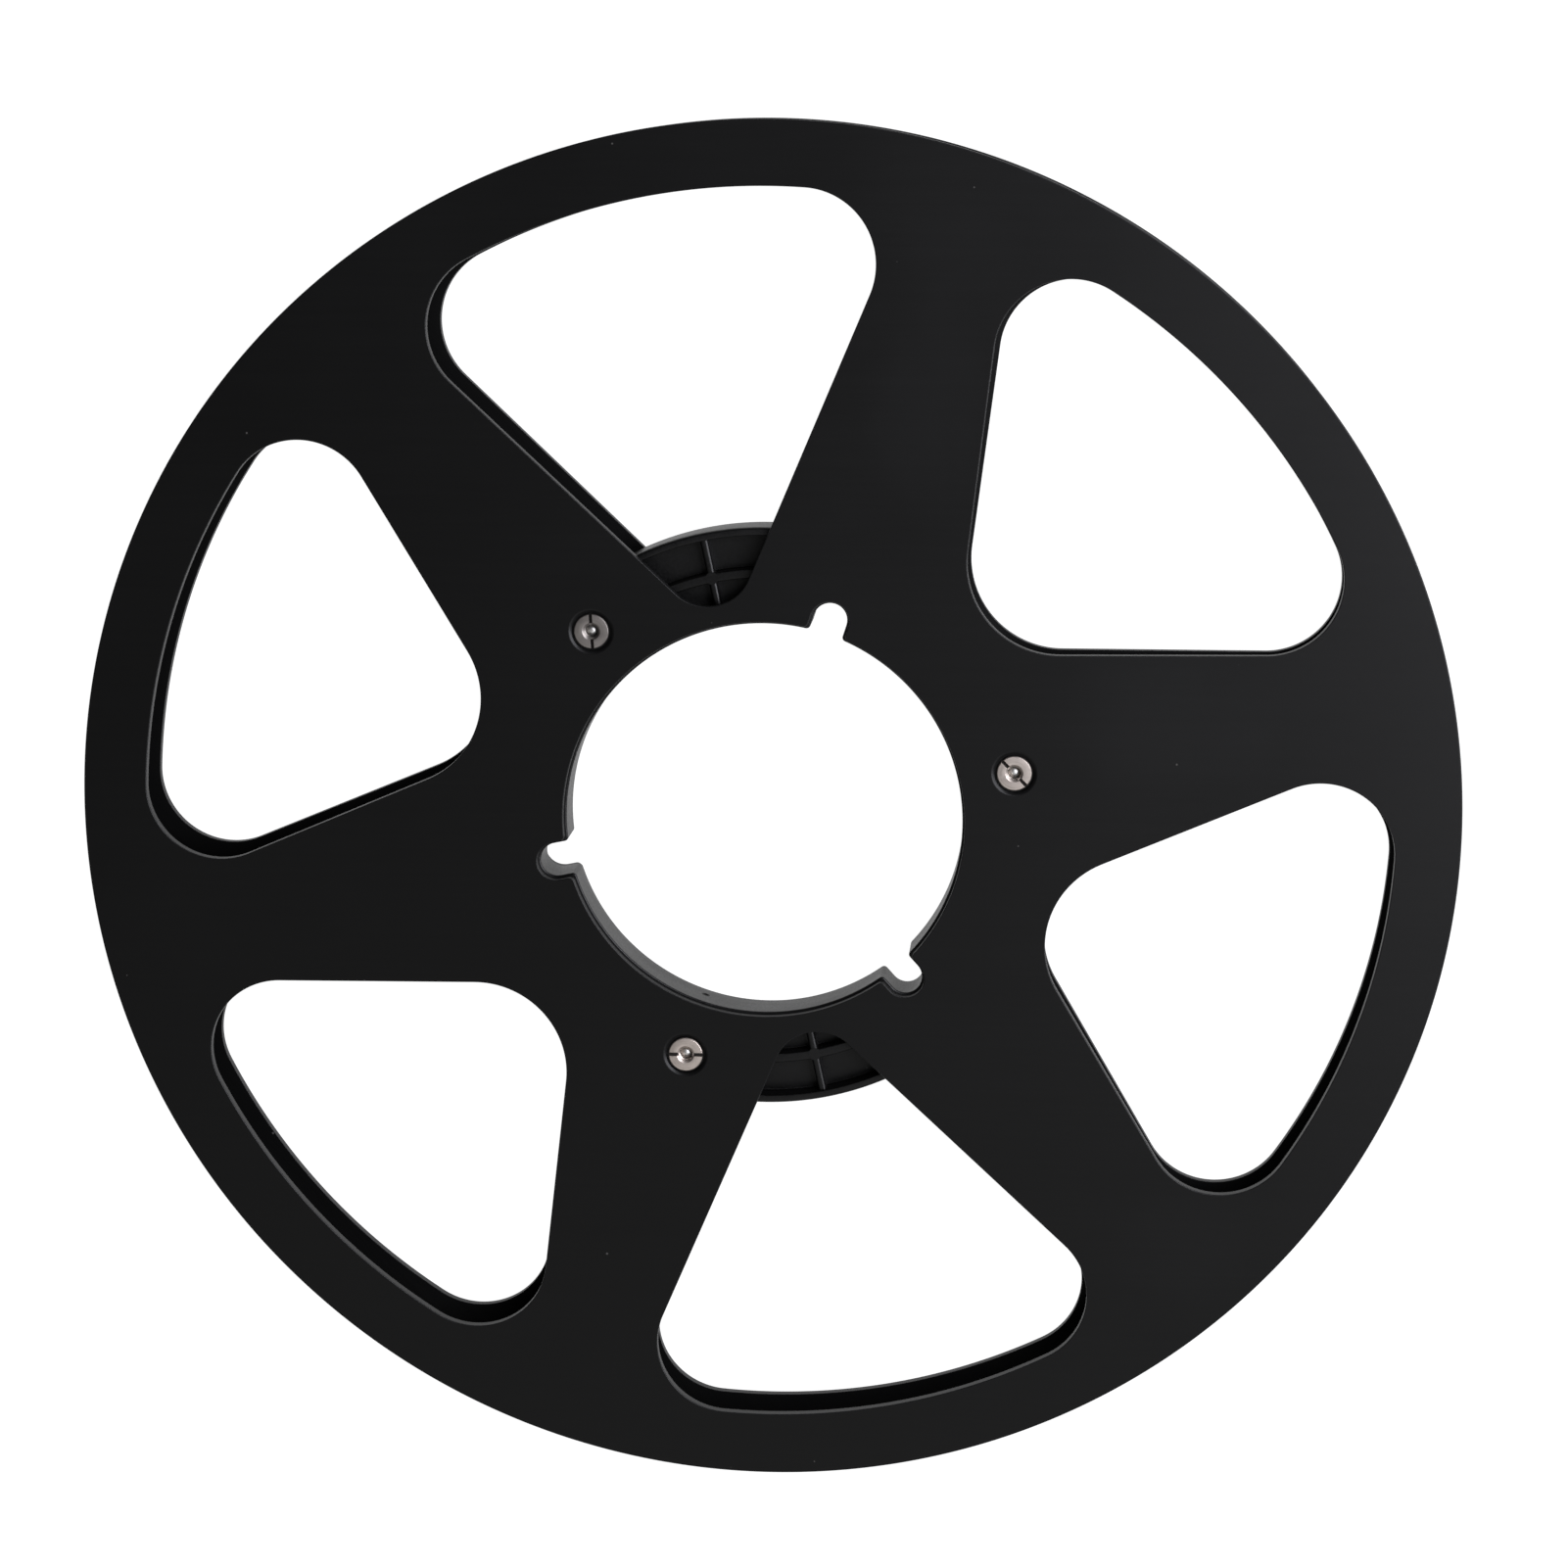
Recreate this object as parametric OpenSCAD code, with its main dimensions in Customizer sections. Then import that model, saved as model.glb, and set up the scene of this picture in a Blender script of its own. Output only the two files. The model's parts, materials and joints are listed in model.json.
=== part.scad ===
// Large tape reel: two thin cut-out flanges on a ribbed hub, held together
// by three screws and three slotted sleeve nuts. Millimetres, +Z up.
// The reel lies flat. z = 0 is the outer face of the rear flange, the nut
// side is up, and the Z axis is the axis of the spindle bore.
// The fasteners stand at 0, 120 and 240 degrees, the drive notches at 60,
// 180 and 300 degrees, and the two deep windows point along +Y and -Y.

/* [Reel] */
// Outer diameter of both flanges
reel_d = 266.7; // [264:0.1:270]
// Overall thickness over both flanges
overall_w = 12.7; // [12.2:0.1:14]
// Thickness of each flange
flange_t = 1.8; // [1.6:0.1:2]

/* [Windows] */
// Radius of the arc that closes every window on the outside
window_arc_r = 121; // [118:0.1:124]
// Corner radius at both outer corners of a window
window_corner_r = 14.25; // [10:0.25:16]
// Half of the angle between the straight sides of a deep window
deep_half_angle = 34.9; // [33:0.1:36]
// Distance from the bore axis to where a deep window's sides would meet
deep_apex_r = 36.4; // [35.5:0.1:38]
// Radius of the round tip of a deep window
deep_tip_r = 8.7; // [7:0.1:9]
// Half of the angle between the straight sides of a shallow window
shallow_half_angle = 41.3; // [39:0.1:42]
// Distance from the bore axis to where a shallow window's sides would meet
shallow_apex_r = 49.25; // [48:0.05:52]
// Radius of the round tip of a shallow window
shallow_tip_r = 17.7; // [14:0.1:19]
// Angle by which the rear flange's cut-outs sit clockwise of the front's
rear_clocking = 0.55; // [0:0.05:0.6]

/* [Spindle bore and drive notches] */
// Diameter of the spindle bore in the hub
bore_d = 76.8; // [76.4:0.05:77.2]
// Diameter of the centre hole in each flange
flange_hole_d = 77.8; // [77.4:0.1:78.2]
// Width of a drive notch in the hub
notch_w = 6.5; // [6.2:0.1:6.8]
// Distance from the bore axis to the round end of a hub notch
notch_reach = 44.5; // [44:0.1:44.8]
// How far the notches in the flanges stand back from the hub notches
notch_relief = 0.5; // [0.3:0.1:0.6]
// Corner radius at the mouth of a flange notch
notch_mouth_r = 1; // [0.6:0.1:1.2]

/* [Hub] */
// Diameter of the surface the tape is wound on
hub_d = 114.3; // [114:0.1:114.6]
// Thickness of the outer rim and of the ring inside it
hub_wall = 1.8; // [1.5:0.1:2]
// Outer radius of the stiffening ring inside the hub
hub_ring_r = 48.85; // [48.5:0.05:49.2]
// Thickness of the wall around the bore and the notches
bore_wall = 1.9; // [1.6:0.1:2]
// Thickness of the web at mid height
hub_web = 1.4; // [1.2:0.1:2]
// Thickness of the radial ribs
rib_t = 1.6; // [1:0.1:2]
// Number of radial ribs
rib_count = 12; // [12:12:24]
// How far ring and ribs stop short of the flanges
rib_drop = 0.6; // [0.4:0.1:1]
// Diameter of the round nodes where six of the ribs cross the ring
node_d = 2.6; // [2.4:0.1:3.2]

/* [Fasteners] */
// Diameter of the circle the fasteners stand on
fastener_pcd = 98.7; // [98.3:0.1:99]
// Diameter of nut head and screw head
head_d = 6.8; // [6.6:0.1:7]
// Diameter of the recess for a head in the flange
recess_d = 7.6; // [7.4:0.1:7.8]
// Depth of the recess for a head
recess_depth = 1; // [0.9:0.1:1.1]
// Width of the chamfer around the recess
recess_chamfer = 0.65; // [0.4:0.05:0.8]
// Outside diameter of the nut's sleeve
sleeve_d = 4.6; // [4.4:0.1:4.8]
// Outside diameter of the screw thread
thread_d = 2.5; // [2.4:0.1:3]
// How far the screw's point stays below the nut's face
tip_depth = 1.2; // [0.6:0.1:1.6]
// Width of the driver slot in the nut
nut_slot_w = 0.6; // [0.5:0.05:0.8]
// Width of the driver slot in the screw head
screw_slot_w = 0.9; // [0.7:0.05:1.1]

/* [Hidden] */

reel_r = reel_d / 2;
z_hub0 = flange_t;                  // bottom of the hub
z_hub1 = overall_w - flange_t;      // top of the hub
z_mid = overall_w / 2;
fastener_r = fastener_pcd / 2;
fastener_angles = [0, 120, 240];
notch_angles = [60, 180, 300];
deep_angles = [90, 270];
shallow_angles = [30, 150, 210, 330];
// angle at which each nut's driver slot came to rest
nut_slot_angles = [-57.5, 81.5, -12];
screw_slot_angles = [20, -35, 64];
eps = 0.01;
round_fn = 96;

// ---- window outline -------------------------------------------------------

function dir2(a) = [cos(a), sin(a)];
function arc_pts(c, r, a0, a1, step) =
    let (n = max(2, ceil(abs(a1 - a0) / step)))
    [for (i = [0 : n]) c + r * dir2(a0 + (a1 - a0) * i / n)];

// Centre of the outer corner round: rr inside the side line that starts at
// [apex, 0] and climbs at half angle h, and rr inside the closing arc.
function corner_centre(apex, h, rr) =
    let (p = [apex + rr * sin(h), -rr * cos(h)],
         b = p * dir2(h),
         q = p * p - pow(window_arc_r - rr, 2),
         s = -b + sqrt(b * b - q))
    p + s * dir2(h);

// Closed outline of a window whose axis is +X, all tangent arcs and lines
function window_pts(apex, h, tip) =
    let (cc = corner_centre(apex, h, window_corner_r),
         ca = atan2(cc[1], cc[0]),
         tc = [apex + tip / sin(h), 0])
    concat(
        arc_pts(tc, tip, 270 - h, 90 + h, 4.5),
        arc_pts(cc, window_corner_r, 90 + h, ca, 4.5),
        arc_pts([0, 0], window_arc_r, ca - 1.25, 1.25 - ca, 1.25),
        arc_pts([cc[0], -cc[1]], window_corner_r, -ca, -90 - h, 4.5));

module windows_2d() {
    for (a = deep_angles) rotate(a)
        polygon(window_pts(deep_apex_r, deep_half_angle, deep_tip_r));
    for (a = shallow_angles) rotate(a)
        polygon(window_pts(shallow_apex_r, shallow_half_angle, shallow_tip_r));
}

// ---- drive notch ----------------------------------------------------------

// Outline of one notch along +X: round end of radius w/2 at reach, straight
// flanks, and a mouth that flares with radius m into a hole of radius hole_r.
// The flare runs 0.05 mm past the edge of the hole.
function notch_pts(w, reach, hole_r, m) =
    let (h = w / 2,
         cx = reach - h,
         mc = [sqrt(pow(hole_r + m - 0.05, 2) - pow(h + m, 2)), h + m],
         ma = atan2(mc[1], mc[0]))
    concat(
        [[hole_r - 4, -(h + 2)]],
        arc_pts([mc[0], -mc[1]], m, 180 - ma, 90, 15),
        arc_pts([cx, 0], h, -90, 90, 7.5),
        arc_pts(mc, m, 270, 180 + ma, 15),
        [[hole_r - 4, h + 2]]);

// ---- flanges --------------------------------------------------------------

// Fastener seat: recess with a chamfered mouth and a hole for the shank,
// drawn for a flange whose outer face is at z = 0 and that lies below it
module seat_cut(hole_d) {
    translate([0, 0, -flange_t - 1])
        cylinder(d = hole_d, h = flange_t + 2, $fn = round_fn);
    translate([0, 0, -recess_depth])
        cylinder(d = recess_d, h = recess_depth + 1, $fn = round_fn);
    translate([0, 0, -recess_chamfer])
        cylinder(d1 = recess_d, d2 = recess_d + 4 * recess_chamfer,
                 h = 2 * recess_chamfer, $fn = round_fn);
}

// Flange body with its outer face at z = 0, lying below it
module flange_blank(clocking) {
    difference() {
        translate([0, 0, -flange_t])
            cylinder(d = reel_d, h = flange_t, $fn = 360);
        translate([0, 0, -flange_t - 1])
            cylinder(d = flange_hole_d, h = flange_t + 2, $fn = 240);
        rotate(clocking) translate([0, 0, -flange_t - 1])
            linear_extrude(height = flange_t + 2) {
                windows_2d();
                for (a = notch_angles) rotate(a)
                    polygon(notch_pts(notch_w + 2 * notch_relief,
                                      notch_reach + notch_relief,
                                      flange_hole_d / 2, notch_mouth_r));
            }
    }
}

module front_flange() {
    color([0.1, 0.1, 0.1])
    translate([0, 0, overall_w])
    difference() {
        flange_blank(0);
        for (a = fastener_angles) rotate(a) translate([fastener_r, 0, 0])
            seat_cut(sleeve_d + 0.3);
    }
}

module rear_flange() {
    color([0.13, 0.13, 0.13])
    mirror([0, 0, 1])
    difference() {
        flange_blank(-rear_clocking);
        for (a = fastener_angles) rotate(a) translate([fastener_r, 0, 0])
            seat_cut(thread_d + 0.3);
    }
}

// ---- hub ------------------------------------------------------------------

hub_r = hub_d / 2;
bore_r = bore_d / 2;
edge = 0.4;                          // small chamfers on the hub's edges
z_rib0 = z_hub0 + rib_drop;
z_rib1 = z_hub1 - rib_drop;

// Turned section outside the bore wall: web, ring and outer rim
function hub_section() =
    let (r0 = bore_r + bore_wall / 2) [
    [r0, z_mid - hub_web / 2],
    [hub_ring_r - hub_wall, z_mid - hub_web / 2], [hub_ring_r - hub_wall, z_rib0],
    [hub_ring_r, z_rib0], [hub_ring_r, z_mid - hub_web / 2],
    [hub_r - hub_wall, z_mid - hub_web / 2], [hub_r - hub_wall, z_hub0],
    [hub_r - edge, z_hub0], [hub_r, z_hub0 + edge],
    [hub_r, z_hub1 - edge], [hub_r - edge, z_hub1],
    [hub_r - hub_wall, z_hub1], [hub_r - hub_wall, z_mid + hub_web / 2],
    [hub_ring_r, z_mid + hub_web / 2], [hub_ring_r, z_rib1],
    [hub_ring_r - hub_wall, z_rib1], [hub_ring_r - hub_wall, z_mid + hub_web / 2],
    [r0, z_mid + hub_web / 2]];

// Everything that stands at full height inside: the wall around the bore, the
// walls around the notches, and the bosses that the screws pass through
module hub_core_2d() {
    circle(r = bore_r + bore_wall, $fn = 240);
    for (a = notch_angles) rotate(a) {
        translate([notch_reach - notch_w / 2, 0])
            circle(d = notch_w + 2 * bore_wall, $fn = round_fn);
        translate([bore_r - 2, -notch_w / 2 - bore_wall])
            square([notch_reach - notch_w / 2 - bore_r + 2,
                    notch_w + 2 * bore_wall]);
    }
    for (a = fastener_angles) rotate(a) translate([fastener_r, 0])
        circle(d = boss_d, $fn = round_fn);
}

// A rib starts in the bore wall, or behind the notch that it would run into
function rib_start(a) =
    (a + 120) % 120 == 60 ? notch_reach + bore_wall / 2 : bore_r + bore_wall / 2;

module hub_ribs() {
    for (i = [0 : rib_count - 1])
        let (a = i * 360 / rib_count, r0 = rib_start(a))
        rotate(a) translate([r0, -rib_t / 2, z_rib0])
            cube([hub_r - hub_wall / 2 - r0, rib_t, z_rib1 - z_rib0]);
}

// Round nodes, a little higher than the ribs, away from bosses and notches
module hub_nodes() {
    for (a = concat(shallow_angles, deep_angles))
        rotate(a) translate([hub_ring_r - hub_wall / 2, 0, z_rib0 - node_rise])
            cylinder(d = node_d, h = z_rib1 - z_rib0 + 2 * node_rise, $fn = 48);
}

boss_d = 9;
node_rise = 0.06;
sleeve_hole_d = sleeve_d + 0.16;
screw_hole_d = thread_d + 0.16;
z_sleeve0 = 5.5;                     // lower end of the nut's sleeve

module hub() {
    color([0.16, 0.16, 0.17])
    difference() {
        union() {
            rotate_extrude($fn = 240) polygon(hub_section());
            translate([0, 0, z_hub0]) linear_extrude(height = z_hub1 - z_hub0)
                hub_core_2d();
            hub_ribs();
            hub_nodes();
        }
        // spindle bore with a chamfer at both ends
        translate([0, 0, z_hub0 - 1])
            cylinder(r = bore_r, h = z_hub1 - z_hub0 + 2, $fn = 240);
        translate([0, 0, z_hub1 - edge - 1])
            cylinder(r1 = bore_r - 1, r2 = bore_r + edge + 1, h = edge + 2,
                     $fn = 240);
        translate([0, 0, z_hub0 - 1])
            cylinder(r1 = bore_r + edge + 1, r2 = bore_r - 1, h = edge + 2,
                     $fn = 240);
        // drive notches
        for (a = notch_angles) rotate(a) translate([0, 0, z_hub0 - 1])
            linear_extrude(height = z_hub1 - z_hub0 + 2)
                polygon(notch_pts(notch_w, notch_reach, bore_r, 0.8));
        // stepped holes for sleeve and screw
        for (a = fastener_angles) rotate(a) {
            translate([fastener_r, 0, z_sleeve0 - 0.3])
                cylinder(d = sleeve_hole_d, h = overall_w, $fn = round_fn);
            translate([fastener_r, 0, z_hub0 - 1])
                cylinder(d = screw_hole_d, h = overall_w, $fn = round_fn);
        }
        // moulding gate mark in the wall of the bore
        rotate(237.5) translate([bore_r - 1, 0, 3.3]) rotate([0, 90, 0])
            cylinder(d = 1.4, h = 1.3, $fn = 32);
    }
}

// ---- fasteners ------------------------------------------------------------

head_gap = 0.02;                     // heads clear their seats by this much
head_sink = 0.1;                     // heads end this far below the face
head_h = recess_depth - head_gap - head_sink;
z_nut_top = overall_w - head_sink;
z_nut_seat = z_nut_top - head_h;
z_tip = z_nut_top - tip_depth;       // top of the screw's round point
dome_h = 0.5;
// radius of the sphere the point is a cap of
dome_r = (pow(thread_d / 2 - 0.2, 2) + pow(dome_h, 2)) / (2 * dome_h);
dome_half = asin((thread_d / 2 - 0.2) / dome_r);

function screw_section() = concat(
    [[0, head_sink], [head_d / 2 - 0.2, head_sink],
     [head_d / 2, head_sink + 0.2], [head_d / 2, head_sink + head_h],
     [thread_d / 2, head_sink + head_h],
     [thread_d / 2, z_tip - dome_h - 0.2]],
    [for (i = [0 : 6]) [dome_r * sin(dome_half * (1 - i / 6)),
                        z_tip - dome_r + dome_r * cos(dome_half * (1 - i / 6))]]);

module screw(slot_angle) {
    difference() {
        rotate_extrude($fn = round_fn) polygon(screw_section());
        rotate(slot_angle) translate([-head_d, -screw_slot_w / 2, -1])
            cube([2 * head_d, screw_slot_w, 1 + head_sink + 0.5]);
    }
}

nut_bore_r = thread_d / 2 + 0.05;
sleeve_edge = 0.2;
nut_lead = 0.18;                     // small countersink in the nut's face

function nut_section() = [
    [nut_bore_r, z_sleeve0], [sleeve_d / 2 - sleeve_edge, z_sleeve0],
    [sleeve_d / 2, z_sleeve0 + sleeve_edge], [sleeve_d / 2, z_nut_seat],
    [head_d / 2, z_nut_seat], [head_d / 2, z_nut_top - 0.18],
    [head_d / 2 - 0.18, z_nut_top], [nut_bore_r + nut_lead, z_nut_top],
    [nut_bore_r, z_nut_top - nut_lead]];

module sleeve_nut(slot_angle) {
    difference() {
        rotate_extrude($fn = round_fn) polygon(nut_section());
        rotate(slot_angle)
            translate([-head_d, -nut_slot_w / 2, z_nut_top - 0.6])
                cube([2 * head_d, nut_slot_w, 2]);
    }
}

module at_fastener(i) {
    rotate(fastener_angles[i]) translate([fastener_r, 0, 0])
        rotate(-fastener_angles[i]) children();
}

module screw_1() { color([0.66, 0.64, 0.62]) at_fastener(0) screw(screw_slot_angles[0]); }
module screw_2() { color([0.66, 0.64, 0.62]) at_fastener(1) screw(screw_slot_angles[1]); }
module screw_3() { color([0.66, 0.64, 0.62]) at_fastener(2) screw(screw_slot_angles[2]); }
module sleeve_nut_1() { color([0.72, 0.69, 0.66]) at_fastener(0) sleeve_nut(nut_slot_angles[0]); }
module sleeve_nut_2() { color([0.72, 0.69, 0.66]) at_fastener(1) sleeve_nut(nut_slot_angles[1]); }
module sleeve_nut_3() { color([0.72, 0.69, 0.66]) at_fastener(2) sleeve_nut(nut_slot_angles[2]); }

front_flange();
rear_flange();
hub();
screw_1();
screw_2();
screw_3();
sleeve_nut_1();
sleeve_nut_2();
sleeve_nut_3();
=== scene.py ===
"""Looks of the tape reel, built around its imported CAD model. Metres, +Z up."""

import json
import math

import bmesh
import bpy
import numpy as np
from mathutils import Matrix, Vector
from mathutils.geometry import delaunay_2d_cdt

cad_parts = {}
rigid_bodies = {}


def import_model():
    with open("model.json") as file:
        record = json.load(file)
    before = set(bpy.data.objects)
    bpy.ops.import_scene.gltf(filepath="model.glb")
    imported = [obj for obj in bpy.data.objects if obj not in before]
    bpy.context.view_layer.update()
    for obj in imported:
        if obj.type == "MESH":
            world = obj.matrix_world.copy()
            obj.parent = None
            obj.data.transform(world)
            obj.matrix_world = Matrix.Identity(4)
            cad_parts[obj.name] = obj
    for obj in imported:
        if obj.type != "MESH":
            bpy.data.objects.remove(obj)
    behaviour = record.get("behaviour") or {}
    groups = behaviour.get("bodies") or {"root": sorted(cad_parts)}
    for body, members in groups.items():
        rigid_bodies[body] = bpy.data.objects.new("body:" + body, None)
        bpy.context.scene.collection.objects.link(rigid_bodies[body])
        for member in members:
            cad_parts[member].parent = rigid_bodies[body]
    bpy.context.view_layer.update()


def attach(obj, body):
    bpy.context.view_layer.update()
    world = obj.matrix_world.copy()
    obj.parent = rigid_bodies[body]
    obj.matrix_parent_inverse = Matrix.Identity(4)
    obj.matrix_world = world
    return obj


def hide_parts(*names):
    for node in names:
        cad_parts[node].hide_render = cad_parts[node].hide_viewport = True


for old in list(bpy.data.objects):
    bpy.data.objects.remove(old)
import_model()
MM = 0.001

# ---------------------------------------------------------------- dimensions
# the same values as the CAD source, in millimetres
REEL_R = 266.7 / 2
OVERALL = 12.7
FLANGE_T = 1.8
ARC_R, CORNER_R = 121.0, 14.25
DEEP = (36.4, 34.9, 8.7)
SHALLOW = (49.25, 41.3, 17.7)
REAR_CLOCKING = -0.55
BORE_R = 38.4
FLANGE_HOLE_R = 38.9
NOTCH_H, NOTCH_REACH, NOTCH_RELIEF = 3.25, 44.5, 0.5
HUB_R, HUB_WALL, RING_R, RING_WALL, BORE_WALL = 56.9, 1.55, 48.85, 1.8, 1.9
Z0, Z1 = FLANGE_T, OVERALL - FLANGE_T
RIB_H, RIB_CREST, RIB_ROUND = 0.8, 0.04, 0.6
FAST_R = 49.35
FASTENERS = (0, 120, 240)
NOTCHES = (60, 180, 300)
NUT_SLOTS = (-57.5, 81.5, -12.0)
SCREW_SLOTS = (20.0, -35.0, 64.0)
PHOTO_TURN = -11.96          # the photograph's +X axis in the CAD frame


# ---------------------------------------------------------------- 2-D curves
def polar(r, a):
    a = np.radians(a)
    return np.stack([r * np.cos(a), r * np.sin(a)], -1)


def arc(c, r, a0, a1, step, ends=(True, True)):
    n = max(2, int(math.ceil(abs(a1 - a0) / step)))
    a = np.linspace(a0, a1, n + 1)
    if not ends[0]:
        a = a[1:]
    if not ends[1]:
        a = a[:-1]
    return np.asarray(c, float) + polar(r, a)


def line(p, q, step):
    """Points strictly between p and q."""
    p, q = np.asarray(p, float), np.asarray(q, float)
    n = max(1, int(round(np.linalg.norm(q - p) / step)))
    t = np.arange(1, n) / n
    return p + (q - p) * t[:, None]


def turn(pts, deg):
    a = math.radians(deg)
    m = np.array([[math.cos(a), math.sin(a)], [-math.sin(a), math.cos(a)]])
    return np.asarray(pts, float) @ m


def window(apex, h, tip):
    """Outline of a window whose axis is +X: round tip, two straight sides,
    two round corners and the closing arc, counter-clockwise."""
    s, c = math.sin(math.radians(h)), math.cos(math.radians(h))
    p = np.array([apex + CORNER_R * s, -CORNER_R * c])
    d = np.array([c, s])
    b = p @ d
    cc = p + (-b + math.sqrt(b * b - (p @ p - (ARC_R - CORNER_R) ** 2))) * d
    ca = math.degrees(math.atan2(cc[1], cc[0]))
    tc = np.array([apex + tip / s, 0.0])
    tip_arc = arc(tc, tip, 90 + h, 270 - h, 2.5)              # upper to lower
    low = arc((cc[0], -cc[1]), CORNER_R, -90 - h, -ca, 2.0)
    outer = arc((0, 0), ARC_R, -ca, ca, 0.5, (False, False))
    high = arc(cc, CORNER_R, ca, 90 + h, 2.0)
    return np.concatenate([
        tip_arc, line(tip_arc[-1], low[0], 3.0), low, outer, high,
        line(high[-1], tip_arc[0], 3.0)])


def notched_circle(r, w, reach, m, clocking=0.0, step=1.0):
    """Round hole with three round-ended notches, every corner tangent."""
    out = []
    mc = np.array([math.sqrt((r + m) ** 2 - (w + m) ** 2), w + m])
    ma = math.degrees(math.atan2(mc[1], mc[0]))
    for a in NOTCHES:
        part = [
            arc((mc[0], -mc[1]), m, 180 - ma, 90, 12),
            line((mc[0], -w), (reach - w, -w), 0.9),
            arc((reach - w, 0), w, -90, 90, 5),
            line((reach - w, w), (mc[0], w), 0.9),
            arc(mc, m, 270, 180 + ma, 12),
            arc((0, 0), r, ma, 120 - ma, step, (False, False)),
        ]
        out.append(turn(np.concatenate(part), a + clocking))
    return np.concatenate(out)


# ---------------------------------------------------------------- profiles
def rounded(points, radii, seg=3, closed=False):
    """Polyline with rounded corners. Returns points and unit normals, the
    normal being on the left of the way the line runs."""
    pts = [np.asarray(p, float) for p in points]
    n = len(pts)
    out_p, out_n = [], []

    def left(d):
        return np.array([-d[1], d[0]])

    for i in range(n):
        p = pts[i]
        has_prev = closed or i > 0
        has_next = closed or i < n - 1
        d0 = p - pts[i - 1] if has_prev else None
        d1 = pts[(i + 1) % n] - p if has_next else None
        if d0 is not None:
            l0 = np.linalg.norm(d0)
            d0 = d0 / l0
        if d1 is not None:
            l1 = np.linalg.norm(d1)
            d1 = d1 / l1
        if d0 is None or d1 is None:
            out_p.append(p)
            out_n.append(left(d1 if d0 is None else d0))
            continue
        cross = d0[0] * d1[1] - d0[1] * d1[0]
        dot = float(np.clip(d0 @ d1, -1, 1))
        bend = math.atan2(abs(cross), dot)
        r = radii[i]
        if bend < 1e-4 or r <= 0:
            out_p.append(p)
            out_n.append(left(d0 + d1) / np.linalg.norm(d0 + d1))
            continue
        t = min(r * math.tan(bend / 2), 0.49 * l0, 0.49 * l1)
        r = t / math.tan(bend / 2)
        side = 1.0 if cross > 0 else -1.0
        centre = p - d0 * t + left(d0) * side * r
        a0 = math.atan2(*(p - d0 * t - centre)[::-1])
        for k in range(seg + 1):
            a = a0 + side * bend * k / seg
            v = np.array([math.cos(a), math.sin(a)])
            out_p.append(centre + r * v)
            out_n.append(-side * v)
    return np.array(out_p), np.array(out_n)


def flush(verts, faces, normals, name, scale=MM):
    """Mesh object from arrays, shaded with the given vertex normals."""
    me = bpy.data.meshes.new(name)
    me.from_pydata([tuple(v) for v in np.asarray(verts) * scale], [], faces)
    me.polygons.foreach_set("use_smooth", [True] * len(me.polygons))
    me.update()
    if normals is not None:
        me.normals_split_custom_set_from_vertices([tuple(v) for v in normals])
    ob = bpy.data.objects.new(name, me)
    bpy.context.scene.collection.objects.link(ob)
    return ob


# ---------------------------------------------------------------- flanges
def inside(points, loop):
    x, y = points[:, 0], points[:, 1]
    res = np.zeros(len(points), bool)
    x0, y0 = loop[:, 0], loop[:, 1]
    x1, y1 = np.roll(x0, -1), np.roll(y0, -1)
    for a, b, c, d in zip(x0, y0, x1, y1):
        hit = (b > y) != (d > y)
        if hit.any():
            at = a + (y - b) / (d - b if d != b else 1e-12) * (c - a)
            res ^= hit & (x < at)
    return res


def fill(outer, holes, spacing=6.0):
    """Triangles between an outer loop and its holes, with a few points spread
    over the face. Returns the added points and the triangles; indices run
    through the outer loop, the holes, then the added points."""
    rings = [outer] + holes
    base = np.concatenate(rings)
    edges, at = [], 0
    for ring in rings:
        n = len(ring)
        edges += [(at + i, at + (i + 1) % n) for i in range(n)]
        at += n
    lo, hi = outer.min(0), outer.max(0)
    grid = []
    row, y = 0, lo[1]
    while y < hi[1]:
        x = lo[0] + (spacing / 2 if row % 2 else 0)
        while x < hi[0]:
            grid.append((x, y))
            x += spacing
        y += spacing * 0.866
        row += 1
    grid = np.array(grid)
    keep = inside(grid, outer)
    for h in holes:
        keep &= ~inside(grid, h)
    grid = grid[keep]
    near = np.full(len(grid), np.inf)
    for k in range(0, len(base), 200):
        d = np.linalg.norm(grid[:, None, :] - base[None, k:k + 200, :], axis=2)
        near = np.minimum(near, d.min(1))
    grid = grid[near > 2.2]
    pts = np.concatenate([base, grid])
    vs, _, fs, ov, _, _ = delaunay_2d_cdt(
        [Vector(p) for p in pts], edges, [], 0, 1e-7, True)
    index = [o[0] if o else -1 for o in ov]
    if min(index) < 0 or len(vs) != len(pts):
        raise RuntimeError("outline crosses itself")
    tris = np.array([[index[i] for i in f] for f in fs])
    mid = pts[tris].mean(1)
    keep = inside(mid, outer)
    for h in holes:
        keep &= ~inside(mid, h)
    tris = tris[keep]
    a, b, c = pts[tris[:, 0]], pts[tris[:, 1]], pts[tris[:, 2]]
    area = (b[:, 0] - a[:, 0]) * (c[:, 1] - a[:, 1]) - (b[:, 1] - a[:, 1]) * (c[:, 0] - a[:, 0])
    tris[area < 0] = tris[area < 0][:, ::-1]
    return grid, tris[np.abs(area) > 1e-9]


def loop_normals(loop):
    """Mitred normals on the right of the way the loop runs."""
    e = np.roll(loop, -1, 0) - loop
    e /= np.linalg.norm(e, axis=1)[:, None]
    nb = np.stack([e[:, 1], -e[:, 0]], 1)
    na = np.roll(nb, 1, 0)
    m = (na + nb) / (1 + (na * nb).sum(1))[:, None]
    return m, m / np.linalg.norm(m, axis=1)[:, None]


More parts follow.
